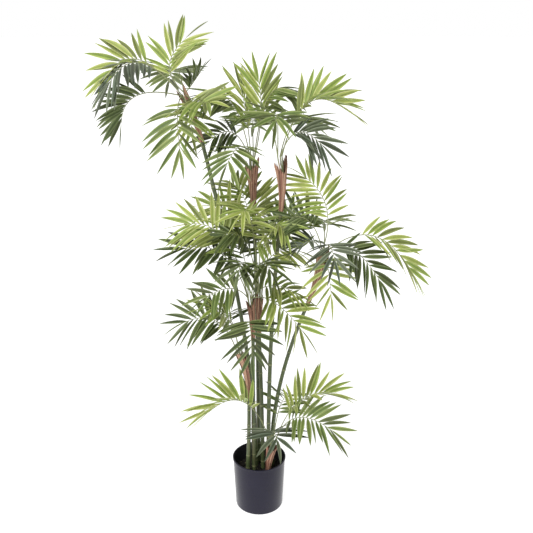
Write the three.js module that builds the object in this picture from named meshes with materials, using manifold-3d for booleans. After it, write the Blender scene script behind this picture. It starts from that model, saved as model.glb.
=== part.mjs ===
// Artificial parlor palm: eight crowns of plastic fronds on dark green canes, standing in a charcoal pot.
// Millimetres, +Z up. The origin is the middle of the pot's flat underside. -Y is the front, +X the right.
import * as THREE from "three";
import { mergeVertices } from "three/addons/utils/BufferGeometryUtils.js";
import Module from "manifold-3d";

const wasm = await Module();
wasm.setup();
const { Manifold } = wasm;

const UP = new THREE.Vector3(0, 0, 1);
const RIGHT = new THREE.Vector3(1, 0, 0);
const GAP = 0.3;
const WELD = 1e-3;

// Pot: a thin tapered shell with a narrow lip and a rounded foot, filled to well below the rim
const POT = { height: 203, rimRadius: 101, footRadius: 90, wall: 2.5, floor: 4, sides: 32 };
const LIP = { height: 9, depth: 2, round: 0.8 };
const FOOT_ROUND = { radius: 4, turns: [30, 60, 90] };
const FILL_TOP = 145;

// Canes: the sizes of their round section, and the sides and steps that they are made with
const CANE = { footRadius: 8.2, headRadius: 6.6, sides: 8, steps: 7 };

// Sheaths: an oval section that starts at the neck's width and widens by the flare at shares of the length.
// Some of them flare less than the others.
const SHEATH = {
  sides: 8,
  depthShare: 0.78,
  neck: 15,
  flares: [[0, 0], [0.25, 4], [0.5, 10], [0.75, 19], [0.9, 25], [1, 17]],
  slim: { tall_left: 0.5, low_left: 0.6, middle: 0.5, inner: 0.4 },
};

// Each stem: the foot of the cane on the fill, the knee that the cane bends towards, its head, and the
// crown where the fronds leave the sheath. The lowest crown sits in the pot with a sheath alone.
const STEMS = {
  tall_left: { foot: [-12, 26], knee: [-10, 18, 648], head: [-187, 20, 1401], crown: [-240, 30, 1544] },
  tall_middle: { foot: [-4, 52], knee: [0, 50, 608], head: [-16, 65, 1136], crown: [-22, 80, 1318] },
  tall_right: { foot: [36, -8], knee: [30, -12, 648], head: [77, -15, 1171], crown: [73, -20, 1348] },
  side_right: { foot: [50, 28], knee: [34, 22, 458], head: [175, -15, 838], crown: [221, -40, 1024] },
  middle: { foot: [-20, -22], knee: [-22, -30, 408], head: [-20, -40, 708], crown: [-28, -48, 858] },
  low_left: { foot: [-44, -36], knee: [-36, -44, 308], head: [-36, -45, 476], crown: [-66, -62, 663] },
  inner: { foot: [14, 8], knee: [12, 6, 408], head: [2, 8, 698], crown: [4, 10, 853] },
  pot_level: { head: [34, -50, FILL_TOP], crown: [48, -55, 278] },
};

// Fronds, crown by crown. Each row gives the azimuth in degrees (0 is right, 90 back); the reach of the tip
// in plan and its height over the crown; the point that draws the rib up, as its distance in plan, its
// height over the crown, and its offset to the left of someone looking out along the frond; the length of
// the longest leaflet; how far level leaflets open from the rib at the foot of the blade, and how steeply
// they rise on the left and on the right of the rib, in degrees; and the shade of green. Two fronds in one
// bracket grow from one petiole.
const FRONDS = {
  tall_left: [
    [
      [310, 195, 8, 70, -20, 0, 130, 84, 35, -15, "lime"],
      [15, 75, 110, 25, 40, 0, 85, 84, 35, 35, "dark"],
    ],
    [20, 90, 236, -130, 125, 0, 130, 72, 45, -60, "lime"],
    [110, 330, -60, 100, 190, 0, 130, 84, 10, 10, "mid"],
    [
      [178, 295, -60, 215, 270, 0, 140, 75, -10, 60, "lime"],
      [208, 300, -75, 215, 262, 0, 138, 84, -15, 0, "blue"],
    ],
    [198, 200, -180, 262, 75, 0, 115, 84, 62, 55, "dark"],
    [
      [274, 135, -265, 150, -15, -40, 125, 84, 45, -10, "mid"],
      [290, 95, -165, 70, -10, 0, 95, 84, 20, 10, "lime"],
    ],
  ],
  tall_middle: [
    [
      [352, 190, 170, 50, 400, 0, 120, 84, -20, -50, "mid"],
      [270, 30, 345, -10, 225, 60, 140, 46, 15, 20, "lime"],
    ],
    [90, 320, 10, 100, 250, 0, 135, 84, 10, 10, "mid"],
    [140, 70, 300, 20, 210, 0, 130, 50, -15, -20, "lime"],
    [190, 220, -20, 70, 225, 0, 110, 84, -30, 30, "dark"],
    [212, 260, 165, 75, 380, 0, 125, 84, -50, -10, "mid"],
    [242, 240, -70, 95, 160, 0, 125, 84, 0, 0, "mid"],
  ],
  tall_right: [
    [3, 285, 85, 80, 340, 0, 150, 62, 55, 10, "lime"],
    [60, 310, 10, 100, 230, 0, 135, 84, 10, 10, "mid"],
    [160, 150, 105, 40, 250, 0, 110, 84, -30, 10, "mid"],
    [262, 170, 60, 50, 280, 0, 120, 84, 10, 10, "mid"],
    [338, 215, -30, 60, 200, 0, 125, 70, 25, -40, "blue"],
  ],
  inner: [
    [20, 215, 235, 50, 400, 0, 125, 84, 40, -20, "mid"],
    [
      [75, 310, 160, 90, 370, 0, 130, 84, 10, 10, "dark"],
      [100, 190, 310, 20, 450, 0, 130, 84, 20, 20, "lime"],
    ],
    [130, 240, 355, 30, 480, 0, 130, 84, -10, 30, "lime"],
    [165, 265, 280, 50, 430, 0, 130, 84, -40, 55, "lime"],
    [
      [240, 150, 265, 60, 490, 0, 125, 84, -10, 10, "lime"],
      [208, 210, 190, 50, 370, 0, 125, 84, -30, 30, "dark"],
    ],
    [316, 170, 190, 50, 440, 0, 120, 84, 20, -20, "lime"],
  ],
  side_right: [
    [4, 400, -272, 236, 212, 0, 140, 72, 55, -10, "lime"],
    [85, 330, -30, 100, 180, 0, 135, 84, 10, 10, "mid"],
    [
      [150, 190, 300, -50, 240, -60, 120, 84, -40, 40, "lime"],
      [178, 170, 100, 40, 200, 0, 120, 84, -50, 50, "dark"],
    ],
    [
      [285, 160, -50, 80, 120, 0, 112, 84, 5, -5, "blue"],
      [205, 130, 10, 40, 100, 0, 100, 84, 20, 20, "blue"],
    ],
    [288, 110, -235, 60, 20, 0, 110, 84, 0, 0, "lime"],
    [335, 285, -200, 120, 130, 0, 115, 75, 35, -35, "dark"],
  ],
  middle: [
    [
      [12, 255, 110, 70, 290, 0, 125, 84, 45, -20, "lime"],
      [352, 230, -10, 70, 120, 0, 120, 84, 10, -10, "lime"],
    ],
    [110, 320, 100, 90, 300, 0, 130, 84, 10, 10, "mid"],
    [
      [174, 320, 215, 80, 400, 0, 140, 84, -40, 55, "lime"],
      [190, 340, 145, 90, 320, 0, 135, 84, -25, 25, "dark"],
    ],
    [
      [250, 150, 60, 50, 290, 0, 110, 84, -10, 10, "dark"],
      [205, 235, -10, 80, 120, 0, 115, 84, -30, 50, "mid"],
    ],
    [
      [335, 275, -180, 105, 70, 0, 130, 84, 30, -15, "lime"],
      [300, 200, 90, 60, 280, 0, 125, 84, 10, -10, "dark"],
    ],
  ],
  low_left: [
    [110, 290, 0, 90, 180, 0, 125, 84, 10, 10, "dark"],
    [185, 285, 60, 80, 250, 0, 125, 84, -35, 55, "dark"],
    [212, 172, 190, 40, 240, 0, 115, 84, -30, 30, "lime"],
    [292, 118, -175, 140, 375, 0, 125, 100, -8, -8, "dark"],
  ],
  pot_level: [
    [5, 320, 160, 90, 320, 0, 130, 84, 75, 20, "lime"],
    [70, 290, 50, 90, 230, 0, 125, 84, 10, 10, "mid"],
    [190, 335, 40, 110, 390, 0, 140, 84, 40, 75, "lime"],
    [280, 170, 60, 15, 150, 0, 130, 95, 12, 12, "blue"],
    [336, 350, 30, 90, 290, 0, 125, 84, 45, -10, "mid"],
  ],
};

// Leaflets stand in pairs on the outer part of the rib. Their angles are in degrees, from the rib. They are
// widest at the start of the blade, less so where its sides rise or hang, and close towards its tip.
const RIB = {
  petioleRadius: 3, tipRadius: 1.8, sides: 3, steps: 6,
  bladeStart: 0.28, bladeEnd: 0.75, ringRadius: 8, collar: 12,
};
const LEAFLET = {
  spacing: 24, fewestPairs: 6, mostPairs: 8, widthShare: 0.145, widestShare: 0.4, thickness: 2.6,
  sink: 0.8, closedAngle: 24, riseShare: 0.4, sag: 0.14, spread: 7, clearance: 0.4,
};
const SHORTEST = { base: 0.75, tip: 0.8 };
const STAGGER = { left: 0.1, right: 0.5, last: 0.985 };
const TURNS = [0, 9, -9, 18, -18];

const SHADES = { lime: 0x8aa544, mid: 0x5f7f3a, dark: 0x3c5a34, blue: 0x4a6150 };

const material = (color, roughness) => new THREE.MeshStandardMaterial({ color, roughness, metalness: 0 });
const rad = THREE.MathUtils.degToRad;
const vec = ([x, y, z]) => new THREE.Vector3(x, y, z);

const plant = new THREE.Group();

function add(name, geometry, finish) {
  geometry.computeVertexNormals();
  const mesh = new THREE.Mesh(geometry, finish);
  mesh.name = name;
  plant.add(mesh);
}

function closedGeometry(corners, triangles) {
  const geometry = new THREE.BufferGeometry();
  const positions = corners.flatMap((p) => p.toArray());
  geometry.setAttribute("position", new THREE.Float32BufferAttribute(positions, 3));
  geometry.setIndex(triangles.flat());
  return geometry;
}

// A closed body through rings of points, with a flat end on each
function loft(rings) {
  const sides = rings[0].length;
  const triangles = [];
  for (let i = 0; i + 1 < rings.length; i++) {
    for (let k = 0; k < sides; k++) {
      const a = i * sides + k;
      const b = i * sides + ((k + 1) % sides);
      triangles.push([a, b, b + sides], [a, b + sides, a + sides]);
    }
  }
  const last = (rings.length - 1) * sides;
  for (let k = 1; k + 1 < sides; k++) {
    triangles.push([0, k + 1, k], [last, last + k, last + k + 1]);
  }
  return closedGeometry(rings.flat(), triangles);
}

// An oval ring round a point, square to the way the limb runs, with its width along the given side
function ring(centre, along, side, width, depth, sides) {
  const across = side.clone().addScaledVector(along, -side.dot(along)).normalize();
  const over = along.clone().cross(across);
  return Array.from({ length: sides }, (_, k) => {
    const turn = (2 * Math.PI * k) / sides;
    const point = centre.clone().addScaledVector(across, width * Math.cos(turn));
    return point.addScaledVector(over, depth * Math.sin(turn));
  });
}

// Convex blocks stand for every limb and leaflet in the clearance rule
const blocks = [];

function block(corners, triangles) {
  const normals = [];
  const edges = [];
  for (const [a, b, c] of triangles) {
    const edge = corners[b].clone().sub(corners[a]);
    normals.push(corners[c].clone().sub(corners[b]).cross(edge).normalize());
    edges.push(edge.normalize());
  }
  const box = new THREE.Box3().setFromPoints(corners).expandByScalar(LEAFLET.clearance);
  return { corners, normals, edges, box };
}

function ringBlocks(rings) {
  const made = [];
  for (let i = 0; i + 1 < rings.length; i++) {
    const sides = rings[i].length;
    const corners = [...rings[i], ...rings[i + 1]];
    const triangles = rings[i].map((_, k) => [k, k + sides, ((k + 1) % sides) + sides]);
    made.push(block(corners, [...triangles, [0, 1, 2], [sides, sides + 1, sides + 2]]));
  }
  return made;
}

function parted(axis, a, b) {
  const size = axis.length();
  if (size < WELD) return false;
  const one = a.corners.map((p) => p.dot(axis) / size);
  const two = b.corners.map((p) => p.dot(axis) / size);
  const room = Math.max(Math.min(...one) - Math.max(...two), Math.min(...two) - Math.max(...one));
  return room > LEAFLET.clearance;
}

function clear(a, b) {
  if (!a.box.intersectsBox(b.box)) return true;
  if ([...a.normals, ...b.normals].some((axis) => parted(axis, a, b))) return true;
  return a.edges.some((one) => b.edges.some((two) => parted(one.clone().cross(two), a, b)));
}

// Small repeatable variations from frond to frond and from leaflet to leaflet
function dice(seed) {
  let state = seed;
  return () => {
    state = (Math.imul(state, 1664525) + 1013904223) >>> 0;
    return (state / 4294967296) * 2 - 1;
  };
}

// Pot and fill
const wallSlope = (POT.rimRadius - LIP.depth - POT.footRadius) / POT.height;
const outerRadius = (z) => POT.footRadius + wallSlope * z;
const innerRadius = (z) => outerRadius(z) - POT.wall;

function potGeometry() {
  const lipFoot = POT.height - LIP.height;
  const shoulder = POT.height - LIP.round;
  const mouth = innerRadius(POT.height);
  const flatRadius = POT.footRadius - FOOT_ROUND.radius;
  const points = [[0, 0], [flatRadius, 0]];
  for (const turn of FOOT_ROUND.turns) {
    const out = flatRadius + FOOT_ROUND.radius * Math.sin(rad(turn));
    points.push([out, FOOT_ROUND.radius * (1 - Math.cos(rad(turn)))]);
  }
  points.push([outerRadius(lipFoot), lipFoot]);
  points.push([outerRadius(lipFoot) + LIP.depth, lipFoot + LIP.depth]);
  points.push([POT.rimRadius, shoulder], [POT.rimRadius - LIP.round, POT.height]);
  points.push([mouth + LIP.round, POT.height], [mouth, shoulder]);
  points.push([innerRadius(POT.floor), POT.floor], [0, POT.floor]);
  return latheGeometry(points);
}

function fillGeometry() {
  const bottom = POT.floor + GAP;
  const points = [[0, bottom], [innerRadius(bottom) - GAP * 2, bottom]];
  points.push([innerRadius(FILL_TOP) - GAP * 2, FILL_TOP], [0, FILL_TOP]);
  return latheGeometry(points);
}

function latheGeometry(points) {
  const profile = points.map(([radius, z]) => new THREE.Vector2(radius, z));
  const turned = new THREE.LatheGeometry(profile, POT.sides);
  turned.rotateX(Math.PI / 2);
  turned.deleteAttribute("normal");
  turned.deleteAttribute("uv");
  return mergeVertices(turned, WELD);
}

add("pot", potGeometry(), material(0x3a3942, 0.35));
add("pot_fill", fillGeometry(), material(0x1c1a17, 0.9));

// Canes and sheaths
function caneRings(stem) {
  const foot = new THREE.Vector3(stem.foot[0], stem.foot[1], FILL_TOP + GAP);
  const curve = new THREE.QuadraticBezierCurve3(foot, vec(stem.knee), vec(stem.head));
  return Array.from({ length: CANE.steps + 1 }, (_, i) => {
    const share = i / CANE.steps;
    const along = i ? curve.getTangent(share) : UP;
    const radius = THREE.MathUtils.lerp(CANE.footRadius, CANE.headRadius, share);
    return ring(curve.getPoint(share), along, RIGHT, radius, radius, CANE.sides);
  });
}

function sheathCurve(stem) {
  const crown = vec(stem.crown);
  const head = vec(stem.head);
  const along = stem.knee ? head.clone().sub(vec(stem.knee)).normalize() : UP.clone();
  const start = head.clone().addScaledVector(along, GAP);
  const pull = start.clone().addScaledVector(along, crown.distanceTo(head) / 2);
  return new THREE.QuadraticBezierCurve3(start, pull, crown);
}

function sheathRings(curve, girth) {
  return SHEATH.flares.map(([share, flare]) => {
    const radius = (SHEATH.neck + flare * girth) / 2;
    const depth = radius * SHEATH.depthShare;
    return ring(curve.getPoint(share), curve.getTangent(share), RIGHT, radius, depth, SHEATH.sides);
  });
}

// The places round a crown where its petioles stand, evenly spread over the top of the sheath
function seatAt(axis, turn) {
  const [edge] = ring(new THREE.Vector3(), axis, RIGHT, 1, 1, 1);
  const over = axis.clone().cross(edge);
  return edge.multiplyScalar(Math.cos(turn)).addScaledVector(over, SHEATH.depthShare * Math.sin(turn));
}

const caneGreen = material(0x4c6a3e, 0.45);
const sheathBrown = material(0x8a5a44, 0.8);
for (const [name, stem] of Object.entries(STEMS)) {
  if (stem.foot) {
    const rings = caneRings(stem);
    add(`cane_${name}`, loft(rings), caneGreen);
    blocks.push(...ringBlocks(rings));
  }
  const rings = sheathRings(sheathCurve(stem), SHEATH.slim[name] ?? 1);
  add(`sheath_${name}`, loft(rings), sheathBrown);
  blocks.push(...ringBlocks(rings));
}
const potRings = [[POT.footRadius, 0], [POT.rimRadius, POT.height]].map(([radius, z]) => {
  return ring(new THREE.Vector3(0, 0, z), UP, RIGHT, radius, radius, POT.sides);
});
blocks.push(...ringBlocks(potRings));

// The rib of a frond leaves the crown at its seat, square to the sheath's end, and arches over to its tip
function ribOf(crown, axis, row, seat) {
  const [azimuth, reach, tip, pullReach, crest, sweep] = row;
  const out = new THREE.Vector3(Math.cos(rad(azimuth)), Math.sin(rad(azimuth)), 0);
  const left = UP.clone().cross(out);
  const foot = crown.clone().addScaledVector(axis, GAP).addScaledVector(seat, RIB.ringRadius);
  const start = foot.clone().addScaledVector(axis, RIB.collar);
  const pull = crown.clone().addScaledVector(out, pullReach).addScaledVector(UP, crest);
  pull.addScaledVector(left, sweep);
  const end = crown.clone().addScaledVector(out, reach).addScaledVector(UP, tip);
  return { foot, axis, curve: new THREE.QuadraticBezierCurve3(start, pull, end), left };
}

function ribRings(rib) {
  const rings = [ring(rib.foot, rib.axis, rib.left, RIB.petioleRadius, RIB.petioleRadius, RIB.sides)];
  for (let i = 0; i <= RIB.steps; i++) {
    const share = i / RIB.steps;
    const at = share * RIB.bladeEnd;
    const along = rib.curve.getTangent(at);
    if (!i) along.add(rib.axis).normalize();
    const radius = THREE.MathUtils.lerp(RIB.petioleRadius, RIB.tipRadius, share);
    rings.push(ring(rib.curve.getPoint(at), along, rib.left, radius, radius, RIB.sides));
  }
  return rings;
}

// A place on the straight pieces that the rib is made of
function onRib(rib, at) {
  const place = (at / RIB.bladeEnd) * RIB.steps;
  const step = Math.min(Math.floor(place), RIB.steps - 1);
  const [from, to] = [step, step + 1].map((i) => rib.curve.getPoint((i / RIB.steps) * RIB.bladeEnd));
  return from.lerp(to, place - step);
}

// A leaflet is a lance of six faces: root, tip, the two edges of its widest place, and the ridge over it
const LANCE = [[0, 2, 4], [0, 4, 3], [0, 3, 2], [1, 4, 2], [1, 3, 4], [1, 2, 3]];

function lanceCorners(root, aim, face, length) {
  const droop = LEAFLET.sag * length * Math.hypot(aim.x, aim.y);
  const at = (share) => {
    const point = root.clone().addScaledVector(aim, length * share);
    return point.addScaledVector(UP, -droop * share ** 2);
  };
  const over = face.clone().addScaledVector(aim, -face.dot(aim)).normalize();
  const across = over.clone().cross(aim);
  const widest = at(LEAFLET.widestShare);
  const half = (length * LEAFLET.widthShare) / 2;
  return [
    root.clone().addScaledVector(aim, -LEAFLET.sink),
    at(1),
    widest.clone().addScaledVector(across, -half),
    widest.clone().addScaledVector(across, half),
    widest.clone().addScaledVector(over, LEAFLET.thickness),
  ];
}

// Leaflets of one frond, in pairs and with one at the tip. A leaflet that would touch another limb is
// turned a little, and left out where no turn clears it.
function leafletsOf(rib, row, roll, others) {
  const [longest, openAngle, leftRise, rightRise] = row.slice(6);
  const blade = rib.curve.getLength() * (RIB.bladeEnd - RIB.bladeStart);
  const fitting = Math.round(blade / LEAFLET.spacing);
  const pairs = THREE.MathUtils.clamp(fitting, LEAFLET.fewestPairs, LEAFLET.mostPairs);
  const made = [];
  const place = ({ share, side, rise, open, size }) => {
    const at = THREE.MathUtils.lerp(RIB.bladeStart, RIB.bladeEnd, share);
    const root = onRib(rib, at);
    const along = rib.curve.getTangent(at);
    const over = along.clone().cross(rib.left).normalize();
    const outward = over.clone().cross(along).multiplyScalar(side);
    const angle = rad(open + roll() * LEAFLET.spread);
    const change = roll() * LEAFLET.spread;
    for (const turn of TURNS) {
      const lift = rad(rise + change + turn);
      const aim = along.clone().multiplyScalar(Math.cos(angle));
      aim.addScaledVector(outward, Math.sin(angle) * Math.cos(lift));
      aim.addScaledVector(over, Math.sin(angle) * Math.sin(lift)).normalize();
      const face = over.clone().multiplyScalar(Math.cos(lift));
      face.addScaledVector(outward, -Math.sin(lift));
      const corners = lanceCorners(root, aim, face, size);
      const one = block(corners, LANCE);
      if (others.every((other) => clear(one, other))) {
        made.push({ corners, one });
        return;
      }
    }
  };
  for (let i = 0; i < pairs; i++) {
    for (const side of [1, -1]) {
      const share = (i + (side > 0 ? STAGGER.left : STAGGER.right)) / pairs;
      const middle = 4 * share * (1 - share);
      const end = share < 0.5 ? SHORTEST.base : SHORTEST.tip;
      const size = longest * (end + (1 - end) * middle);
      const rise = side > 0 ? leftRise : rightRise;
      const widest = openAngle - LEAFLET.riseShare * Math.abs(rise);
      const open = THREE.MathUtils.lerp(widest, LEAFLET.closedAngle, share ** 2);
      place({ share, side, rise, open, size });
    }
  }
  place({ share: STAGGER.last, side: 0, rise: 0, open: 0, size: longest * SHORTEST.tip });
  return made;
}

function solid(geometry) {
  const vertProperties = new Float32Array(geometry.attributes.position.array);
  const triVerts = new Uint32Array(geometry.index.array);
  return new Manifold(new wasm.Mesh({ numProp: 3, vertProperties, triVerts }));
}

// Joins the rib and its leaflets into one body and drops any scrap that does not hold to it
function fused(pieces) {
  const whole = Manifold.union(pieces.map(solid));
  const [body] = whole.decompose().sort((a, b) => b.volume() - a.volume());
  const mesh = body.getMesh();
  const geometry = new THREE.BufferGeometry();
  geometry.setAttribute("position", new THREE.BufferAttribute(mesh.vertProperties, 3));
  geometry.setIndex(new THREE.BufferAttribute(mesh.triVerts, 1));
  return mergeVertices(geometry, WELD);
}

const nodes = [];
for (const [crownName, entries] of Object.entries(FRONDS)) {
  const crown = vec(STEMS[crownName].crown);
  const axis = sheathCurve(STEMS[crownName]).getTangent(1);
  entries.forEach((entry, i) => {
    const rows = Array.isArray(entry[0]) ? entry : [entry];
    const [first] = entries.flat(2);
    const seat = seatAt(axis, rad(first + (360 * i) / entries.length));
    const fronds = rows.map((row) => {
      const rib = ribOf(crown, axis, row, seat);
      const rings = ribRings(rib);
      return { row, rib, rings, blocks: ringBlocks(rings) };
    });
    nodes.push({ name: `frond_${crownName}_${i + 1}`, fronds });
  });
}

const frondGreens = {};
for (const [shade, color] of Object.entries(SHADES)) frondGreens[shade] = material(color, 0.5);
const allFronds = nodes.flatMap((node) => node.fronds);
for (const node of nodes) {
  const pieces = [];
  for (const frond of node.fronds) {
    const ribs = allFronds.filter((other) => other !== frond).flatMap((other) => other.blocks);
    const roll = dice(allFronds.indexOf(frond) + 1);
    const leaflets = leafletsOf(frond.rib, frond.row, roll, [...blocks, ...ribs]);
    blocks.push(...leaflets.map((leaflet) => leaflet.one));
    pieces.push(loft(frond.rings), ...leaflets.map((leaflet) => closedGeometry(leaflet.corners, LANCE)));
  }
  add(node.name, fused(pieces), frondGreens[node.fronds[0].row.at(-1)]);
}

export default plant;
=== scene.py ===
"""Looks of an artificial parlor palm: eight crowns of leaflets on green canes, in a charcoal pot.

The tables are in millimetres, +Z up, with -Y the front and +X the right. Meshes are made in metres.
Colours are written as they look on a screen. A pair that near() reads is a usual value and its variation.
"""
import math

import bpy
import numpy as np
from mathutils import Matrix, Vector, noise


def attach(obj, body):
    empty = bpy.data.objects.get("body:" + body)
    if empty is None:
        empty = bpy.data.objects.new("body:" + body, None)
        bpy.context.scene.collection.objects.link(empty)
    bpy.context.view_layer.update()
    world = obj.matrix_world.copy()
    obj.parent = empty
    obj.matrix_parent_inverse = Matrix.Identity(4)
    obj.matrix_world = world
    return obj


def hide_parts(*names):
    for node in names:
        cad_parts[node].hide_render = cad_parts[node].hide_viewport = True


MM = 0.001
UP = np.array([0.0, 0.0, 1.0])
RIGHT = np.array([1.0, 0.0, 0.0])

# The plant's own sizes, as in the solids
GAP = 0.3
POT = {
    "height": 203, "rim": 101, "foot": 90, "wall": 2.5, "floor": 4, "lip": 9, "lip_depth": 2, "round": 4,
    "edge": 0.9, "hollow": 0.4,
}
FILL_TOP = 145
CANE = {"foot": 8.2, "head": 6.6}
SHEATH_DEPTH = 0.78
RIB = {"blade_start": 0.28, "blade_end": 0.75, "seat": 8, "collar": 12}
LEAFLET = {
    "sink": 0.8, "closed": 24, "rise_share": 0.4, "sag": 0.14, "spread": 7, "base": 0.75, "tip": 0.8,
    "stagger": {1: 0.1, -1: 0.5}, "last": 0.985,
}

# How far a leaflet that would touch a stem is turned up or down, in degrees, in the order of the tries
TURNS = (0, 9, -9, 18, -18)

# Each stem: the foot of the cane on the fill, the knee that it bends towards, its head, and the crown
STEMS = {
    "tall_left": {
        "foot": (-12, 26), "knee": (-10, 18, 648), "head": (-187, 20, 1401), "crown": (-240, 30, 1544),
    },
    "tall_middle": {
        "foot": (-4, 52), "knee": (0, 50, 608), "head": (-16, 65, 1136), "crown": (-22, 80, 1318),
    },
    "tall_right": {
        "foot": (36, -8), "knee": (30, -12, 648), "head": (77, -15, 1171), "crown": (73, -20, 1348),
    },
    "side_right": {
        "foot": (50, 28), "knee": (34, 22, 458), "head": (175, -15, 838), "crown": (221, -40, 1024),
    },
    "middle": {
        "foot": (-20, -22), "knee": (-22, -30, 408), "head": (-20, -40, 708), "crown": (-28, -48, 858),
    },
    "low_left": {
        "foot": (-44, -36), "knee": (-36, -44, 308), "head": (-36, -45, 476), "crown": (-66, -62, 663),
    },
    "inner": {
        "foot": (14, 8), "knee": (12, 6, 408), "head": (2, 8, 698), "crown": (4, 10, 853),
    },
    "pot_level": {"head": (34, -50, FILL_TOP), "crown": (48, -55, 278)},
}

# First numbers of the repeatable variations, each counted on from piece to piece
SEEDS = {"canes": 101, "fibres": 201, "walls": 301, "chips": 401, "looks": 500}

# Fronds, crown by crown. Each row gives the azimuth in degrees (0 is right, 90 back); the reach of the tip
# in plan and its height over the crown; the point that draws the rib up, as its distance in plan, its
# height over the crown, and its offset to the left of someone looking out along the frond; the length of
# the longest leaflet; how far level leaflets open from the rib at the foot of the blade, and how steeply
# they rise on the left and on the right of the rib, in degrees; and the shade of green. Two fronds in one
# bracket grow from one petiole.
FRONDS = {
    "tall_left": [
        (
            (310, 195, 8, 70, -20, 0, 130, 84, 35, -15, "lime"),
            (15, 75, 110, 25, 40, 0, 85, 84, 35, 35, "dark"),
        ),
        (20, 90, 236, -130, 125, 0, 130, 72, 45, -60, "lime"),
        (110, 330, -60, 100, 190, 0, 130, 84, 10, 10, "mid"),
        (
            (178, 295, -60, 215, 270, 0, 140, 75, -10, 60, "lime"),
            (208, 300, -75, 215, 262, 0, 138, 84, -15, 0, "blue"),
        ),
        (198, 200, -180, 262, 75, 0, 115, 84, 62, 55, "dark"),
        (
            (274, 135, -265, 150, -15, -40, 125, 84, 45, -10, "mid"),
            (290, 95, -165, 70, -10, 0, 95, 84, 20, 10, "lime"),
        ),
    ],
    "tall_middle": [
        (
            (352, 190, 170, 50, 400, 0, 120, 84, -20, -50, "mid"),
            (270, 30, 345, -10, 225, 60, 140, 46, 15, 20, "lime"),
        ),
        (90, 320, 10, 100, 250, 0, 135, 84, 10, 10, "mid"),
        (140, 70, 300, 20, 210, 0, 130, 50, -15, -20, "lime"),
        (190, 220, -20, 70, 225, 0, 110, 84, -30, 30, "dark"),
        (212, 260, 165, 75, 380, 0, 125, 84, -50, -10, "mid"),
        (242, 240, -70, 95, 160, 0, 125, 84, 0, 0, "mid"),
    ],
    "tall_right": [
        (3, 285, 85, 80, 340, 0, 150, 62, 55, 10, "lime"),
        (60, 310, 10, 100, 230, 0, 135, 84, 10, 10, "mid"),
        (160, 150, 105, 40, 250, 0, 110, 84, -30, 10, "mid"),
        (262, 170, 60, 50, 280, 0, 120, 84, 10, 10, "mid"),
        (338, 215, -30, 60, 200, 0, 125, 70, 25, -40, "blue"),
    ],
    "inner": [
        (20, 215, 235, 50, 400, 0, 125, 84, 40, -20, "mid"),
        (
            (75, 310, 160, 90, 370, 0, 130, 84, 10, 10, "dark"),
            (100, 190, 310, 20, 450, 0, 130, 84, 20, 20, "lime"),
        ),
        (130, 240, 355, 30, 480, 0, 130, 84, -10, 30, "lime"),
        (165, 265, 280, 50, 430, 0, 130, 84, -40, 55, "lime"),
        (
            (240, 150, 265, 60, 490, 0, 125, 84, -10, 10, "lime"),
            (208, 210, 190, 50, 370, 0, 125, 84, -30, 30, "dark"),
        ),
        (316, 170, 190, 50, 440, 0, 120, 84, 20, -20, "lime"),
    ],
    "side_right": [
        (4, 400, -272, 236, 212, 0, 140, 72, 55, -10, "lime"),
        (85, 330, -30, 100, 180, 0, 135, 84, 10, 10, "mid"),
        (
            (150, 190, 300, -50, 240, -60, 120, 84, -40, 40, "lime"),
            (178, 170, 100, 40, 200, 0, 120, 84, -50, 50, "dark"),
        ),
        (
            (285, 160, -50, 80, 120, 0, 112, 84, 5, -5, "blue"),
            (205, 130, 10, 40, 100, 0, 100, 84, 20, 20, "blue"),
        ),
        (288, 110, -235, 60, 20, 0, 110, 84, 0, 0, "lime"),
        (335, 285, -200, 120, 130, 0, 115, 75, 35, -35, "dark"),
    ],
    "middle": [
        (
            (12, 255, 110, 70, 290, 0, 125, 84, 45, -20, "lime"),
            (352, 230, -10, 70, 120, 0, 120, 84, 10, -10, "lime"),
        ),
        (110, 320, 100, 90, 300, 0, 130, 84, 10, 10, "mid"),
        (
            (174, 320, 215, 80, 400, 0, 140, 84, -40, 55, "lime"),
            (190, 340, 145, 90, 320, 0, 135, 84, -25, 25, "dark"),
        ),
        (
            (250, 150, 60, 50, 290, 0, 110, 84, -10, 10, "dark"),
            (205, 235, -10, 80, 120, 0, 115, 84, -30, 50, "mid"),
        ),
        (
            (335, 275, -180, 105, 70, 0, 130, 84, 30, -15, "lime"),
            (300, 200, 90, 60, 280, 0, 125, 84, 10, -10, "dark"),
        ),
    ],
    "low_left": [
        (110, 290, 0, 90, 180, 0, 125, 84, 10, 10, "dark"),
        (185, 285, 60, 80, 250, 0, 125, 84, -35, 55, "dark"),
        (212, 172, 190, 40, 240, 0, 115, 84, -30, 30, "lime"),
        (292, 118, -175, 140, 375, 0, 125, 100, -8, -8, "dark"),
    ],
    "pot_level": [
        (5, 320, 160, 90, 320, 0, 130, 84, 75, 20, "lime"),
        (70, 290, 50, 90, 230, 0, 125, 84, 10, 10, "mid"),
        (190, 335, 40, 110, 390, 0, 140, 84, 40, 75, "lime"),
        (280, 170, 60, 15, 150, 0, 130, 95, 12, 12, "blue"),
        (336, 350, 30, 90, 290, 0, 125, 84, 45, -10, "mid"),
    ],
}

# Finer leaflets than the solids have: how many millimetres of rib each pair takes, the fewest and the most
# pairs, the shape in shares of the length, and in degrees how far each leaflet may differ
FINE = {
    "spacing": 19, "fewest": 7, "most": 11, "width": 0.135, "size": 0.09, "fold": 17, "sickle": 0.09,
    "tilt": 12, "turn": 20, "twist": 42, "limp": 0.8, "swing": 6, "sweep": 4,
}
OUTLINE = {
    "shares": (0, 0.03, 0.08, 0.16, 0.26, 0.38, 0.5, 0.62, 0.73, 0.83, 0.91, 0.97, 1),
    "widths": (0.13, 0.2, 0.42, 0.7, 0.9, 1, 0.97, 0.86, 0.7, 0.5, 0.28, 0.1, 0.01),
}

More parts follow.
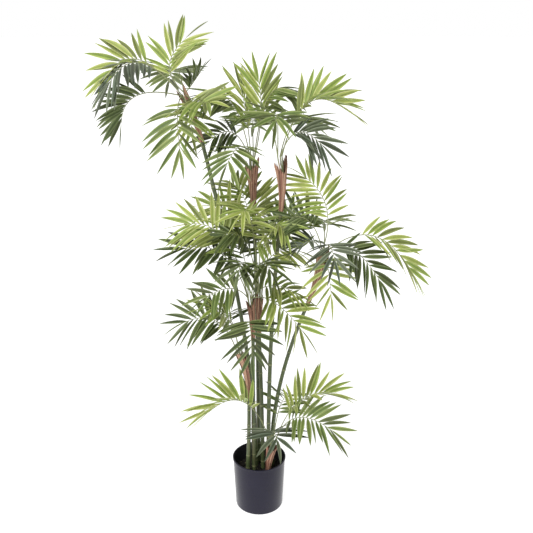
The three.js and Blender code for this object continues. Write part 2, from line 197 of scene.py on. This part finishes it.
# Pleats across a leaflet, in shares of its half width, and the tone of each strip between them
PLEATS = {"places": (-1, -0.7, -0.3, 0, 0.3, 0.7, 1), "drops": (0, 0.05, 0.1, 0, 0.1, 0.05, 0)}
TONES = np.array([0, 1, 2, 2, 1, 0])

# Tint of a leaflet, from 0 for the lightest to just under 3: its usual value and how far it varies, and how
# far those of a whole frond do. Each tint has three tones.
TINTS = {"leaflet": (1.4, 1.3), "frond": 0.8, "top": 2.9, "tones": 3}

# Stalk: radii of the petiole and of the blade's end, and how far its root goes down into the sheath
STALK = {"petiole": 2.0, "tip": 0.8, "sides": 8, "steps": 26, "root": 46, "root_seat": 5}

# Leaf colours of each shade: margin, blade and middle stripe of each of its three tints
LEAF_COLOURS = {
    "lime": ("c0c487", "a3ae5e", "8b9949", "acb672", "8fa14e", "75893e", "969f64", "798445", "636d33"),
    "mid": ("9fa872", "7d8b4e", "66763c", "8a985c", "697c41", "576834", "747e51", "596337", "49532b"),
    "dark": ("7e8958", "5f6d42", "49542d", "6a774a", "4e5c32", "3c4925", "5a633b", "424c28", "343b1b"),
    "blue": ("848c75", "656e57", "515944", "6f7a68", "55604d", "434d38", "616855", "49503d", "39402d"),
}
LEAF_ROUGHNESS = {"lime": 0.42, "mid": 0.4, "dark": 0.36, "blue": 0.36}


def vec(*numbers):
    return np.array(numbers, dtype=float)


def unit(vector):
    return vector / np.linalg.norm(vector)


def rgb(colour):
    """Linear colour of a hexadecimal one."""
    parts = [int(colour[i:i + 2], 16) / 255 for i in (0, 2, 4)]
    return [p / 12.92 if p <= 0.04045 else ((p + 0.055) / 1.055) ** 2.4 for p in parts] + [1.0]


def dice(seed):
    """Small repeatable variations between -1 and 1."""
    state = seed
    while True:
        state = (state * 1664525 + 1013904223) % 2**32
        yield state / 2**31 - 1


def near(values, roll):
    """A number round the first value, by up to the second."""
    usual, swing = values
    return usual + swing * next(roll)


def fraction(roll):
    """A number between 0 and 1."""
    return 0.5 + 0.5 * next(roll)


CURVE_STEPS = 100


class Curve:
    """An arc that leaves start towards pull and comes to end from it."""

    def __init__(self, start, pull, end):
        self.start, self.pull, self.end = start, pull, end

    def at(self, share):
        rest = 1 - share
        return self.start * rest**2 + self.pull * 2 * rest * share + self.end * share**2

    def along(self, share):
        return unit((self.pull - self.start) * (1 - share) + (self.end - self.pull) * share)

    def length(self):
        points = np.array([self.at(share) for share in np.linspace(0, 1, CURVE_STEPS)])
        return np.linalg.norm(np.diff(points, axis=0), axis=1).sum()


def ring(centre, along, side, width, depth, turns):
    """Points of an oval round centre, square to along, at these turns in radians."""
    across = unit(side - along * side.dot(along))
    over = np.cross(along, across)
    return centre + np.outer(np.cos(turns) * width, across) + np.outer(np.sin(turns) * depth, over)


def around(sides):
    return np.linspace(0, math.tau, sides, endpoint=False)


class Pile:
    """Points and faces of one joined piece, each face with the number of its tone."""

    def __init__(self):
        self.points, self.faces, self.tones, self.count = [], [], [], 0

    def grid(self, rows, tones=0, closed=False):
        """Faces between rows of points. tones is one number, or one for each strip or each face."""
        rows = np.asarray(rows)
        height, width = rows.shape[:2]
        index = np.arange(height * width).reshape(height, width) + self.count
        left = index if closed else index[:, :-1]
        right = np.roll(index, -1, axis=1) if closed else index[:, 1:]
        faces = np.stack([left[:-1], right[:-1], right[1:], left[1:]], axis=2)
        self.points.append(rows.reshape(-1, 3))
        self.faces.append(faces.reshape(-1, 4))
        self.tones.append(np.broadcast_to(tones, faces.shape[:2]).reshape(-1))
        self.count += height * width

    def piece(self, name, materials, slot, nodes):
        """Makes the piece, in the place of these nodes."""
        points = np.concatenate(self.points) * MM
        mesh = bpy.data.meshes.new(name)
        mesh.from_pydata(points.tolist(), [], np.concatenate(self.faces).tolist())
        for material in materials:
            mesh.materials.append(material)
        mesh.polygons.foreach_set("material_index", np.concatenate(self.tones).astype(np.int32))
        mesh.polygons.foreach_set("use_smooth", np.ones(len(mesh.polygons), dtype=bool))
        mesh.validate()
        made = bpy.data.objects.new(name, mesh)
        bpy.context.collection.objects.link(made)
        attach(made, "root")
        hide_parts(*nodes)


# Every surface: the detail of its patches, the part of the noise that their tones cover, and how much finer
# its grain is
PATCHES = {"detail": 4, "edges": (0.3, 0.7), "grain": 8}


def finish(
    name, colour, roughness, mottle=0.25, size=60, bump=0.2, depth=0.3, stretch=(1, 1, 1), **sockets
):
    """A surface whose colour varies by mottle in patches of 1/size metre, with a fine uneven grain."""
    material = bpy.data.materials.new(name)
    material.use_nodes = True
    nodes, links = material.node_tree.nodes, material.node_tree.links
    shader = nodes["Principled BSDF"]
    shader.inputs["Roughness"].default_value = roughness
    for socket, value in sockets.items():
        shader.inputs[socket.replace("_", " ")].default_value = value
    place = nodes.new("ShaderNodeTexCoord")
    scale = nodes.new("ShaderNodeMapping")
    scale.inputs["Scale"].default_value = stretch
    links.new(place.outputs["Object"], scale.inputs["Vector"])
    patches = nodes.new("ShaderNodeTexNoise")
    patches.inputs["Scale"].default_value = size
    patches.inputs["Detail"].default_value = PATCHES["detail"]
    links.new(scale.outputs["Vector"], patches.inputs["Vector"])
    ramp = nodes.new("ShaderNodeValToRGB")
    tone = np.array(rgb(colour))
    changes = (1 - mottle, 1 + mottle)
    for element, share, change in zip(ramp.color_ramp.elements, PATCHES["edges"], changes):
        element.position = share
        element.color = (*np.clip(tone[:3] * change, 0, 1), 1)
    links.new(patches.outputs["Fac"], ramp.inputs["Fac"])
    links.new(ramp.outputs["Color"], shader.inputs["Base Color"])
    grain = nodes.new("ShaderNodeTexNoise")
    grain.inputs["Scale"].default_value = size * PATCHES["grain"]
    links.new(scale.outputs["Vector"], grain.inputs["Vector"])
    relief = nodes.new("ShaderNodeBump")
    relief.inputs["Strength"].default_value = bump
    relief.inputs["Distance"].default_value = depth * MM
    links.new(grain.outputs["Fac"], relief.inputs["Height"])
    links.new(relief.outputs["Normal"], shader.inputs["Normal"])
    return material


# Canes: smooth green stems with pale rings where old fronds were, slight flutes and long brown streaks
CANE_RINGS = {"spacing": (62, 14), "height": 0.7, "reach": 3.2, "pale": 2.2}
FLUTES = {"count": 5, "depth": 0.15, "twist": 2, "phase": 3, "inset": 0.3}
STREAKS = {"over": 0.55, "latest": 0.8, "length": 0.35}
CANE_TONES = {"green": 0, "brown": 1, "ring": 2}
CANE_STEP = 3.0
CANE_SIDES = around(20)


def cane_curve(stem):
    return Curve(vec(*stem["foot"], FILL_TOP + GAP), vec(*stem["knee"]), vec(*stem["head"]))


def ring_marks(length, roll):
    """How far up the cane each of its rings is."""
    marks = []
    mark = CANE_RINGS["spacing"][0] / 2
    while mark < length:
        marks.append(mark)
        mark += near(CANE_RINGS["spacing"], roll)
    return marks


def cane_rows(stem, roll):
    """Rings of points up the cane, and the tone of each face between them."""
    curve = cane_curve(stem)
    length = curve.length()
    marks = ring_marks(length, roll)
    phase = FLUTES["phase"] * next(roll)
    rows, row_tones = [], []
    for share in np.linspace(0, 1, round(length / CANE_STEP) + 1):
        gap = min(abs(share * length - mark) for mark in marks)
        swell = CANE_RINGS["height"] * math.exp(-((gap / CANE_RINGS["reach"]) ** 2))
        radius = CANE["foot"] + (CANE["head"] - CANE["foot"]) * share + swell - FLUTES["inset"]
        waves = np.sin(FLUTES["count"] * CANE_SIDES + phase + FLUTES["twist"] * share)
        radii = radius + FLUTES["depth"] * waves
        along = UP if share == 0 else curve.along(share)
        rows.append(ring(curve.at(share), along, RIGHT, radii, radii, CANE_SIDES))
        row_tones.append(CANE_TONES["ring"] if gap < CANE_RINGS["pale"] else CANE_TONES["green"])
    tones = np.repeat(np.array(row_tones[:-1])[:, None], len(CANE_SIDES), axis=1)
    for column in range(len(CANE_SIDES)):
        if next(roll) > STREAKS["over"]:
            start = round(fraction(roll) * len(rows) * STREAKS["latest"])
            streak = tones[start:start + round(len(rows) * STREAKS["length"]), column]
            streak[streak == CANE_TONES["green"]] = CANE_TONES["brown"]
    return rows, tones


def make_canes():
    finishes = [
        finish("cane_green", "4f5a39", 0.42, stretch=(1, 1, 0.15), size=120),
        finish("cane_brown", "5d563e", 0.55, stretch=(1, 1, 0.15), size=120),
        finish("cane_ring", "767a55", 0.55),
    ]
    for number, (name, stem) in enumerate(STEMS.items()):
        if "foot" in stem:
            pile = Pile()
            rows, tones = cane_rows(stem, dice(number + SEEDS["canes"]))
            pile.grid(rows, tones, closed=True)
            pile.piece(f"cane_{name}_stem", finishes, "cane", [f"cane_{name}"])


# Sheaths: brown fibre that wraps the cane's head and stands open round the petioles, in long pointed flaps
SHEATH = {
    "shares": (0, 0.25, 0.5, 0.75, 0.9, 1.0, 1.3), "neck": 15, "flares": (0, 4, 11, 20, 28, 32, 42),
    "rows": 30, "flaps": 2, "tear": (1, 0.3), "point": 0.9, "fray": 0.06, "ridge": (1, 0.07),
    "twist": 0.5, "lining": 0.93,
}
SHEATH_SIDES = around(64)

# Of each sheath: the direction in which it stands open, in radians from its right side; in shares of its
# length, how high its rim is there and how far its flaps stand over that; and the share of the flare it has
SHEATH_RIMS = {
    "tall_left": {"turn": 0.6, "rim": 0.85, "flap": 0.4, "flare": 0.45},
    "tall_middle": {"turn": 0.9, "rim": 0.84, "flap": 0.24, "flare": 1},
    "tall_right": {"turn": 1.6, "rim": 0.74, "flap": 0.28, "flare": 1},
    "side_right": {"turn": 1.9, "rim": 0.82, "flap": 0.26, "flare": 0.9},
    "middle": {"turn": 1.2, "rim": 0.84, "flap": 0.22, "flare": 0.5},
    "low_left": {"turn": 2.2, "rim": 0.84, "flap": 0.26, "flare": 0.6},
    "inner": {"turn": 1.9, "rim": 0.84, "flap": 0.22, "flare": 0.4},
    "pot_level": {"turn": 1.0, "rim": 0.8, "flap": 0.45, "flare": 0.8},
}

# Tones of the wall's fibres. A draw over BROWN_OVER makes one brown. Otherwise a second draw over PALE_OVER
# makes it pale.
SHEATH_TONES = {"brown": 0, "pale": 1, "dark": 2, "lining": 3}
BROWN_OVER, PALE_OVER = -0.1, -0.3

# Loose strands: where up the wall they leave it, how long they are, and how far they lean out
FIBRES = {
    "count": 22, "rows": 7, "start": (0.72, 0.2), "length": (39, 21), "lean": (0.16, 0.14),
    "width": 1.6, "taper": 0.95, "clear": 0.8,
}


def sheath_curve(stem):
    head, crown = vec(*stem["head"]), vec(*stem["crown"])
    along = unit(head - vec(*stem["knee"])) if "knee" in stem else UP
    start = head + along * GAP
    return Curve(start, start + along * np.linalg.norm(crown - head) / 2, crown)


def sheath_point(curve, share):
    """The middle of the sheath there, going straight on above the crown, and its direction."""
    over = max(share - 1, 0)
    along = curve.along(min(share, 1))
    return curve.at(min(share, 1)) + along * over * curve.length(), along


def sheath_radius(name, share):
    flare = np.interp(share, SHEATH["shares"], SHEATH["flares"]) * SHEATH_RIMS[name]["flare"]
    return (SHEATH["neck"] + flare) / 2


def sheath_tops(name, roll):
    """How high the torn rim is at each side, as a share of the sheath's length."""
    rim = SHEATH_RIMS[name]
    tears = [rim["flap"] * near(SHEATH["tear"], roll) for _ in range(SHEATH["flaps"])]
    tops = []
    for angle in SHEATH_SIDES:
        place = (angle - rim["turn"]) % math.tau / math.tau * SHEATH["flaps"]
        nearness = 1 - abs(place % 1 - 0.5) * 2
        point = tears[int(place)] * nearness ** SHEATH["point"]
        tops.append(near((rim["rim"] + point, SHEATH["fray"]), roll))
    return tops


def sheath_wall(name, curve, roll, scale):
    """Rows of points from the cane's head to a torn rim, with flaps spread round it."""
    tops = sheath_tops(name, roll)
    ridges = np.array([near(SHEATH["ridge"], roll) for _ in SHEATH_SIDES]) * scale
    rows = np.empty((SHEATH["rows"], len(SHEATH_SIDES), 3))
    for column, (angle, top) in enumerate(zip(SHEATH_SIDES, tops)):
        for row, share in enumerate(np.linspace(0, top, SHEATH["rows"])):
            centre, along = sheath_point(curve, share)
            radius = sheath_radius(name, share) * ridges[column]
            turn = np.array([angle + SHEATH["twist"] * share])
            rows[row, column] = ring(centre, along, RIGHT, radius, radius * SHEATH_DEPTH, turn)[0]
    return rows


def fibre_tone(roll):
    if next(roll) > BROWN_OVER:
        return SHEATH_TONES["brown"]
    return SHEATH_TONES["pale"] if next(roll) > PALE_OVER else SHEATH_TONES["dark"]


def add_fibres(pile, name, curve, roll):
    """Loose strands that leave the wall and stand a little away from it."""
    for _ in range(FIBRES["count"]):
        turn = math.pi * next(roll)
        start = near(FIBRES["start"], roll)
        length = near(FIBRES["length"], roll)
        lean = near(FIBRES["lean"], roll)
        strip = []
        for share in np.linspace(0, 1, FIBRES["rows"]):
            centre, along = sheath_point(curve, start + share * length / curve.length())
            radius = sheath_radius(name, start) + FIBRES["clear"] + lean * length * share**2
            half = FIBRES["width"] * (1 - share * FIBRES["taper"]) / radius / 2
            turns = np.array([turn - half, turn + half])
            strip.append(ring(centre, along, RIGHT, radius, radius * SHEATH_DEPTH, turns))
        pile.grid(strip, SHEATH_TONES["dark" if next(roll) > 0 else "pale"])


def make_sheaths():
    fibrous = {"size": 150, "stretch": (1, 1, 0.12)}
    finishes = [
        finish("sheath_brown", "8c6250", 0.75, mottle=0.4, **fibrous),
        finish("sheath_pale", "c49f84", 0.75, mottle=0.25, **fibrous),
        finish("sheath_dark", "583d2e", 0.8, mottle=0.35, **fibrous),
        # The lining's darker brown is painted shade for the inside of the sheath.
        finish("sheath_inside_shade", "6b4a38", 0.9, mottle=0.35, **fibrous),
    ]
    for number, (name, stem) in enumerate(STEMS.items()):
        curve = sheath_curve(stem)
        roll = dice(number + SEEDS["fibres"])
        pile = Pile()
        tones = [fibre_tone(roll) for _ in SHEATH_SIDES]
        pile.grid(sheath_wall(name, curve, dice(number + SEEDS["walls"]), 1), tones, closed=True)
        # The lining inside the wall takes the darker brown of painted shade.
        lining = sheath_wall(name, curve, dice(number + SEEDS["walls"]), SHEATH["lining"])
        pile.grid(lining, SHEATH_TONES["lining"], closed=True)
        add_fibres(pile, name, curve, roll)
        pile.piece(f"sheath_{name}_fibre", finishes, "sheath", [f"sheath_{name}"])


# Room that leaflets leave round the pot, canes and sheaths. For that, canes and sheaths are rows of points,
# and those more than LEAFLET_REACH away are left out.
CLEARANCE = 3
LIMB_STEP = 6
SHEATH_SAMPLES = 24
LEAFLET_REACH = 200


def limb_points():
    """Points up the middle of every cane and sheath, and its radius at each."""
    points, radii = [], []
    for name, stem in STEMS.items():
        if "foot" in stem:
            curve = cane_curve(stem)
            shares = np.linspace(0, 1, round(curve.length() / LIMB_STEP))
            points += [curve.at(share) for share in shares]
            radii += [CANE["foot"]] * len(shares)
        curve = sheath_curve(stem)
        shares = np.linspace(0, 1, SHEATH_SAMPLES)
        points += [curve.at(share) for share in shares]
        radii += [sheath_radius(name, share) for share in shares]
    return np.array(points), np.array(radii)


LIMBS, LIMB_RADII = limb_points()


def is_clear(points):
    """Whether the middle line of a leaflet keeps off the pot, the canes and the sheaths."""
    low = points[points[:, 2] < POT["height"] + CLEARANCE]
    if len(low) and (np.hypot(low[:, 0], low[:, 1]) < POT["rim"] + CLEARANCE).any():
        return False
    close = np.abs(LIMBS - points.mean(axis=0)).max(axis=1) < LEAFLET_REACH
    if not close.any():
        return True
    gaps = np.linalg.norm(points[:, None] - LIMBS[close][None], axis=2) - LIMB_RADII[close]
    return gaps.min() > CLEARANCE


# Fronds: a stalk with pairs of leaflets along its blade
class Frond:
    """A rib that leaves its crown's sheath and arches over towards its tip."""

    def __init__(self, crown, axis, row, seat):
        azimuth, reach, tip, pull, crest, sweep = row[:6]
        self.longest, self.open, left_rise, right_rise, self.shade = row[6:]
        self.rises = {1: left_rise, 0: 0, -1: right_rise}
        turn = math.radians(azimuth)
        out = vec(math.cos(turn), math.sin(turn), 0)
        self.left = np.cross(UP, out)
        self.axis = axis
        self.root = crown - axis * STALK["root"] + seat * STALK["root_seat"]
        self.foot = crown + axis * GAP + seat * RIB["seat"]
        start = self.foot + axis * RIB["collar"]
        top = crown + out * pull + UP * crest + self.left * sweep
        self.curve = Curve(start, top, crown + out * reach + UP * tip)

    def stalk(self):
        """Rings of points from inside the sheath to the end of the blade."""
        turns = around(STALK["sides"])
        radius = STALK["petiole"]
        ends = (self.root, self.foot)
        rows = [ring(place, self.axis, self.left, radius, radius, turns) for place in ends]
        for share in np.linspace(0, 1, STALK["steps"]):
            at = share * RIB["blade_end"]
            radius = STALK["petiole"] + (STALK["tip"] - STALK["petiole"]) * share
            rows.append(ring(self.curve.at(at), self.curve.along(at), self.left, radius, radius, turns))
        return rows

    def blade(self, at):
        """The rib's direction there, the direction to its left and the one that its upper side faces."""
        along = self.curve.along(at)
        over = unit(np.cross(along, self.left))
        return along, np.cross(over, along), over


def leaflet_rows(root, aim, face, length, side, looks):
    """Rows of points of one leaflet: a pleated lance that droops, bends sideways and twists a little."""
    shares = np.array(OUTLINE["shares"])
    places = np.array(PLEATS["places"])
    half = np.array(OUTLINE["widths"]) * length * FINE["width"] / 2
    droop = LEAFLET["sag"] * length * math.hypot(aim[0], aim[1]) * (1 + FINE["limp"] * next(looks))
    over = unit(face - aim * face.dot(aim))
    across = np.cross(over, aim)
    middle = root + np.outer(shares * length, aim) - np.outer(droop * shares**2, UP)
    middle += np.outer(FINE["sickle"] * next(looks) * length * shares**2, across)
    turn = side * FINE["tilt"] + FINE["turn"] * next(looks) + FINE["twist"] * next(looks) * shares
    turn = np.radians(turn)
    width = np.outer(np.cos(turn), across) + np.outer(np.sin(turn), over)
    height = np.outer(np.cos(turn), over) - np.outer(np.sin(turn), across)
    fold = math.tan(math.radians(FINE["fold"])) * np.abs(places) - np.array(PLEATS["drops"])
    rows = middle[:, None] + (half[:, None] * places)[:, :, None] * width[:, None]
    return rows + (half[:, None] * fold)[:, :, None] * height[:, None], middle


def add_leaflets(pile, frond, seed):
    """Pairs of leaflets and one at the tip, turned or left out where they would touch a stem."""
    roll, looks = dice(seed), dice(seed + SEEDS["looks"])
    fresh = TINTS["frond"] * next(looks)
    blade = frond.curve.length() * (RIB["blade_end"] - RIB["blade_start"])
    pairs = min(max(round(blade / FINE["spacing"]), FINE["fewest"]), FINE["most"])

    def place(share, side, size):
        at = RIB["blade_start"] + (RIB["blade_end"] - RIB["blade_start"]) * share
        along, left, over = frond.blade(at)
        widest = frond.open - LEAFLET["rise_share"] * abs(frond.rises[side])
        opening = widest + (LEAFLET["closed"] - widest) * share**2 if side else 0
        angle = near((opening, LEAFLET["spread"]), roll) + FINE["sweep"] * next(looks)
        rise = near((frond.rises[side], LEAFLET["spread"]), roll) + FINE["swing"] * next(looks)
        tint = int(np.clip(near(TINTS["leaflet"], looks) + fresh, 0, TINTS["top"]))
        length = size * near((1, FINE["size"]), looks)
        slant = math.radians(angle)
        for turn in TURNS:
            lift = math.radians(rise + turn)
            out = left * side * math.cos(lift) + over * math.sin(lift)
            aim = unit(along * math.cos(slant) + out * math.sin(slant))
            face = over * math.cos(lift) - left * side * math.sin(lift)
            root = frond.curve.at(at) - aim * LEAFLET["sink"]
            rows, middle = leaflet_rows(root, aim, face, length, side, looks)
            if is_clear(middle):
                pile.grid(rows, TONES + TINTS["tones"] * tint)
                return

    for pair in range(pairs):
        for side, stagger in LEAFLET["stagger"].items():
            share = (pair + stagger) / pairs
            end = LEAFLET["base"] if share < 0.5 else LEAFLET["tip"]
            bulge = 4 * share * (1 - share)
            place(share, side, frond.longest * (end + (1 - end) * bulge))
    place(LEAFLET["last"], 0, frond.longest * LEAFLET["tip"])


def seat_at(axis, turn):
    """A place round a crown where a petiole stands, as an offset of about one unit."""
    edge = unit(RIGHT - axis * RIGHT.dot(axis))
    return edge * math.cos(turn) + np.cross(axis, edge) * SHEATH_DEPTH * math.sin(turn)


def crown_fronds(name, entries):
    """The fronds of a crown, each with the node that it stands for."""
    crown = vec(*STEMS[name]["crown"])
    axis = sheath_curve(STEMS[name]).along(1)
    pairs = [entry if isinstance(entry[0], tuple) else (entry,) for entry in entries]
    for number, rows in enumerate(pairs):
        seat = seat_at(axis, math.radians(pairs[0][0][0] + 360 * number / len(pairs)))
        for row in rows:
            yield f"frond_{name}_{number + 1}", Frond(crown, axis, row, seat)


def leaf_finishes(shade):
    return [
        finish(
            f"leaf_{shade}_{number}", colour, LEAF_ROUGHNESS[shade],
            mottle=0.12, size=35, Specular_IOR_Level=0.32,
        )
        for number, colour in enumerate(LEAF_COLOURS[shade])
    ]


def make_fronds():
    """Of each crown, one piece with all its stalks and one for the leaflets of each shade."""
    greens = {shade: leaf_finishes(shade) for shade in LEAF_COLOURS}
    stalk_green = finish("stalk_green", "878c62", 0.45, stretch=(1, 1, 0.3))
    seed = 0
    for name, entries in FRONDS.items():
        stalks = Pile()
        leaves = {}
        nodes = {}
        for node, frond in crown_fronds(name, entries):
            seed += 1
            stalks.grid(frond.stalk(), closed=True)
            add_leaflets(leaves.setdefault(frond.shade, Pile()), frond, seed)
            nodes.setdefault(frond.shade, set()).add(node)
        every_node = sorted(set().union(*nodes.values()))
        stalks.piece(f"stalks_{name}", [stalk_green], "frond_mid", every_node)
        for shade, pile in leaves.items():
            pile.piece(f"leaflets_{name}_{shade}", greens[shade], f"frond_{shade}", sorted(nodes[shade]))


# Pot: a thin shell with a narrow lip, turned from a profile that starts and ends AXIS from its middle.
# Points EDGE_ROW from the ends of the wall and of the underside keep their shading even.
POT_SIDES = around(128)
ARC_POINTS = 5
AXIS = 0.01
EDGE_ROW = 1


def lathe(profile):
    return [ring(UP * z, UP, RIGHT, radius, radius, POT_SIDES) for radius, z in profile]


def arc(centre, radius, first, last):
    """Points of a profile round centre between two angles in degrees from straight out."""
    turns = np.radians(np.linspace(first, last, ARC_POINTS))
    return [(centre[0] + radius * math.cos(turn), centre[1] + radius * math.sin(turn)) for turn in turns]


def wall_radius(z):
    """Outer radius of the pot's wall at this height."""
    return POT["foot"] + (POT["rim"] - POT["lip_depth"] - POT["foot"]) / POT["height"] * z


def make_pot():
    lip_foot = POT["height"] - POT["lip"]
    inside = wall_radius(POT["height"]) - POT["wall"]
    foot = POT["foot"] - POT["round"]
    crest = POT["height"] - POT["edge"]
    profile = [(AXIS, POT["hollow"]), (foot - EDGE_ROW, POT["hollow"]), (foot, 0)]
    profile += arc((foot, POT["round"]), POT["round"], -80, 0)
    rows = (POT["round"] + EDGE_ROW, lip_foot - EDGE_ROW, lip_foot)
    profile += [(wall_radius(z), z) for z in rows]
    profile += arc((wall_radius(lip_foot), lip_foot + POT["lip_depth"]), POT["lip_depth"], -90, 0)
    profile += arc((POT["rim"] - POT["edge"], crest), POT["edge"], 0, 90)
    outside = len(profile)
    profile += arc((inside + POT["edge"], crest), POT["edge"], 90, 180)
    profile += [(wall_radius(POT["floor"]) - POT["wall"], POT["floor"]), (AXIS, POT["floor"])]
    pile = Pile()
    # Faces inside the rim take a darker plastic, painted shade for the inside of the pot.
    tones = np.arange(len(profile) - 1)[:, None] > outside
    pile.grid(lathe(profile), tones, closed=True)
    moulded = {"mottle": 0.1, "size": 14}
    plastics = [
        finish("pot_plastic", "151326", 0.25, bump=0.12, depth=0.2, Specular_IOR_Level=0.3, **moulded),
        # The inside's darker colour is painted shade.
        finish("pot_inside_shade", "0f0e14", 0.5, **moulded),
    ]
    pile.piece("pot_shell", plastics, "pot", ["pot"])


# Fill: a lumpy dark surface, just clear of the wall, with loose chips spread over it
FILL = {"rings": 46, "clear": 0.6, "middle": 0.5, "rise": 4.5, "drop": 2.5, "lumps": 0.06}
CHIPS = {
    "count": 420, "inset": 6, "height": (-1, 2), "size": (3.3, 2.2), "lean": 0.4, "flat": 0.6, "sides": 5,
    "pale_over": 0.9, "outline": ((-1, 0.1), (-0.6, 0.5), (0.5, 0.6), (1, 0.1)),
}
FILL_TONES = {"dark": 0, "chip": 1, "pale": 2}


def add_chips(pile, reach):
    roll = dice(SEEDS["chips"])
    turns = around(CHIPS["sides"])
    for _ in range(CHIPS["count"]):
        radius = (reach - CHIPS["inset"]) * math.sqrt(fraction(roll))
        turn = math.pi * next(roll)
        height = FILL_TOP + near(CHIPS["height"], roll)
        place = vec(radius * math.cos(turn), radius * math.sin(turn), height)
        size = near(CHIPS["size"], roll)
        along = unit(vec(next(roll), next(roll), CHIPS["lean"] * next(roll)))
        side = unit(np.cross(along, vec(next(roll), next(roll), 1)))
        rows = [
            ring(place + along * size * step, along, side, size * wide, size * wide * CHIPS["flat"], turns)
            for step, wide in CHIPS["outline"]
        ]
        pile.grid(rows, FILL_TONES["pale" if next(roll) > CHIPS["pale_over"] else "chip"], closed=True)


def make_fill():
    pile = Pile()
    reach = wall_radius(FILL_TOP) - POT["wall"] - FILL["clear"]
    rows = []
    for radius in np.linspace(reach, FILL["middle"], FILL["rings"]):
        row = ring(UP * FILL_TOP, UP, RIGHT, radius, radius, POT_SIDES)
        for point in row:
            point[2] += FILL["rise"] * noise.noise(Vector(point * FILL["lumps"])) - FILL["drop"]
        rows.append(row)
    pile.grid(rows, FILL_TONES["dark"], closed=True)
    add_chips(pile, reach)
    finishes = [
        finish("fill_dark", "17140f", 0.95, size=200),
        finish("fill_chip", "241d17", 0.9, size=200),
        finish("fill_pale", "6d6a4c", 0.85, size=200),
    ]
    pile.piece("fill_surface", finishes, "pot_fill", ["pot_fill"])


# Floor, light and camera, in metres and degrees
WHITE = (1, 1, 1, 1)
FLOOR = {"radius": 60, "sides": 96, "colour": "b0b0b0", "roughness": 0.8, "glow": 0.8}
ROOM = {"heights": (0.2, 0.6), "tones": (1.0, 0.5)}
SUN = {"turn": -35, "height": 45, "softness": 35, "strength": 1.8}
FRONT = {"place": (-0.5, -2.9, 2.7), "aim": (0, 0, 1), "size": 1.6, "power": 17}
CAMERA = {"place": (0.028, -2.45, 1.808), "tilt": 71.1, "lens": 50, "sensor": 36}


def make_stage():
    bpy.ops.mesh.primitive_circle_add(
        vertices=FLOOR["sides"], radius=FLOOR["radius"], fill_type="NGON", location=(0, 0, 0)
    )
    floor = bpy.context.object
    floor.name = "floor"
    white = finish(
        "floor_white", FLOOR["colour"], FLOOR["roughness"], mottle=0, bump=0,
        Emission_Color=WHITE, Emission_Strength=FLOOR["glow"],
    )
    floor.data.materials.append(white)


def add_front_light():
    """A soft square light in front of the plant, above the camera, that looks at its middle."""
    data = bpy.data.lights.new("front", "AREA")
    data.size = FRONT["size"]
    data.energy = FRONT["power"]
    light = bpy.data.objects.new("front", data)
    light.location = FRONT["place"]
    aim = Vector(FRONT["aim"]) - Vector(FRONT["place"])
    light.rotation_euler = aim.to_track_quat("-Z", "Y").to_euler()
    bpy.context.collection.objects.link(light)


def add_sun():
    """Even, soft-edged light on the plant and the floor from above one side."""
    data = bpy.data.lights.new("sun", "SUN")
    data.angle = math.radians(SUN["softness"])
    data.energy = SUN["strength"]
    light = bpy.data.objects.new("sun", data)
    light.rotation_euler = (math.radians(90 - SUN["height"]), 0, math.radians(SUN["turn"]))
    bpy.context.collection.objects.link(light)


def light_scene():
    """A room that is white all round near the floor and dimmer overhead, with two soft lights."""
    world = bpy.data.worlds.new("studio")
    world.use_nodes = True
    nodes, links = world.node_tree.nodes, world.node_tree.links
    place = nodes.new("ShaderNodeTexCoord")
    split = nodes.new("ShaderNodeSeparateXYZ")
    ramp = nodes.new("ShaderNodeValToRGB")
    links.new(place.outputs["Generated"], split.inputs["Vector"])
    links.new(split.outputs["Z"], ramp.inputs["Fac"])
    for element, share, tone in zip(ramp.color_ramp.elements, ROOM["heights"], ROOM["tones"]):
        element.position = share
        element.color = (tone, tone, tone, 1)
    links.new(ramp.outputs["Color"], nodes["Background"].inputs["Color"])
    bpy.context.scene.world = world
    add_sun()
    add_front_light()
    bpy.context.scene.view_settings.view_transform = "Standard"


def add_camera():
    """The photograph's own point of view."""
    data = bpy.data.cameras.new("camera")
    data.lens = CAMERA["lens"]
    data.sensor_width = CAMERA["sensor"]
    camera = bpy.data.objects.new("camera", data)
    camera.location = CAMERA["place"]
    camera.rotation_euler = (math.radians(CAMERA["tilt"]), 0, 0)
    bpy.context.collection.objects.link(camera)
    bpy.context.scene.camera = camera


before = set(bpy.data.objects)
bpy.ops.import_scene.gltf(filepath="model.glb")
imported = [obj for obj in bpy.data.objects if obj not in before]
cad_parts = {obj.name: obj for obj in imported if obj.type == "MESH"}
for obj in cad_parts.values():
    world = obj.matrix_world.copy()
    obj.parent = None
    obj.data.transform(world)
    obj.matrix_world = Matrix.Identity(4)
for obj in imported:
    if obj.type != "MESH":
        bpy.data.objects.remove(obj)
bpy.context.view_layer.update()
make_canes()
make_sheaths()
make_fronds()
make_pot()
make_fill()
make_stage()
light_scene()
add_camera()
